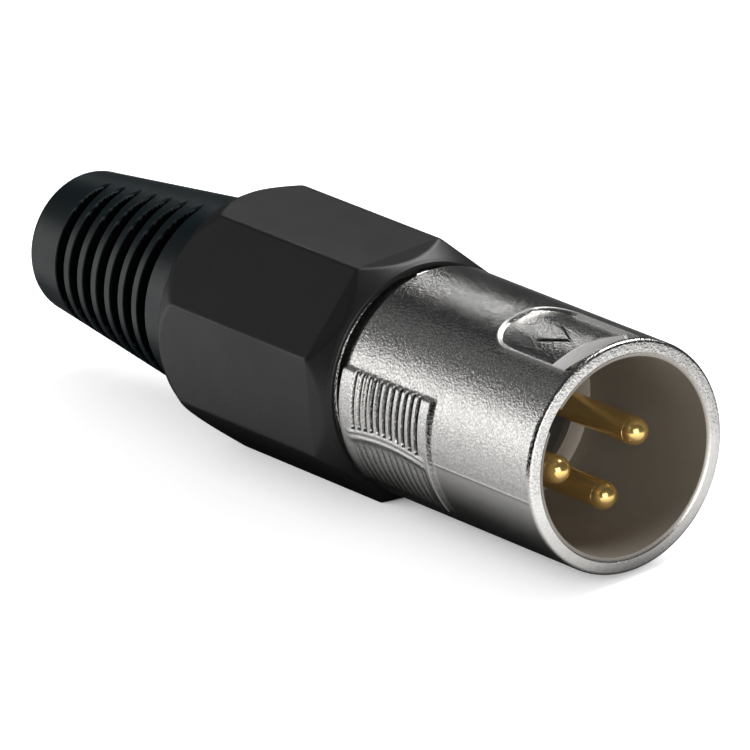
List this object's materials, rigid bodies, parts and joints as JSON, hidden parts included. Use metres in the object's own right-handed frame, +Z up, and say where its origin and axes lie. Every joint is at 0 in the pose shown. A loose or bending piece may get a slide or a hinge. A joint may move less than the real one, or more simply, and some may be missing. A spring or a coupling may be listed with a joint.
{
  "type": "audio cable plug",
  "caption": "Male XLR cable plug: latched metal barrel round gold pins, octagonal screw collar and tapered, grooved rubber boot.",
  "frame": {"origin": "centre of the contact insert's front face, on the plug's axis", "axes": "+X along the plug's axis towards the socket it goes into, +Z up with the plug lying on one flat of its collar"},
  "size_m": [0.0714, 0.0202, 0.0202],
  "materials": {
    "shell": "satin nickel plate, finely blasted",
    "insert": "moulded, dark grey",
    "contacts": "polished gold plate",
    "ground_tag": "tinned",
    "cable_clamp": "moulded",
    "collar": "moulded, fine satin texture",
    "boot": "smooth, slightly sheened"
  },
  "bodies": {
    "shell": {"shell": "shell", "insert": "insert", "contact_1": "contacts", "contact_2": "contacts", "contact_3": "contacts", "ground_tag": "ground_tag", "cable_clamp": "cable_clamp"},
    "boot": {"boot": "boot"},
    "collar": {"collar": "collar"}
  },
  "joints": [
    {"name": "boot_slide", "type": "slide", "parent": "shell", "child": "boot", "axis": [-1, 0, 0], "range_m": [0, 0.005]},
    {"name": "collar_turn", "type": "hinge", "parent": "boot", "child": "collar", "pos_m": [-0.0215, 0, 0], "axis": [-1, 0, 0], "range_deg": [0, 1800]}
  ],
  "couplings": [
    {"joint": "collar_turn", "follows": "boot_slide", "rad_per_m": 6283.2}
  ]
}
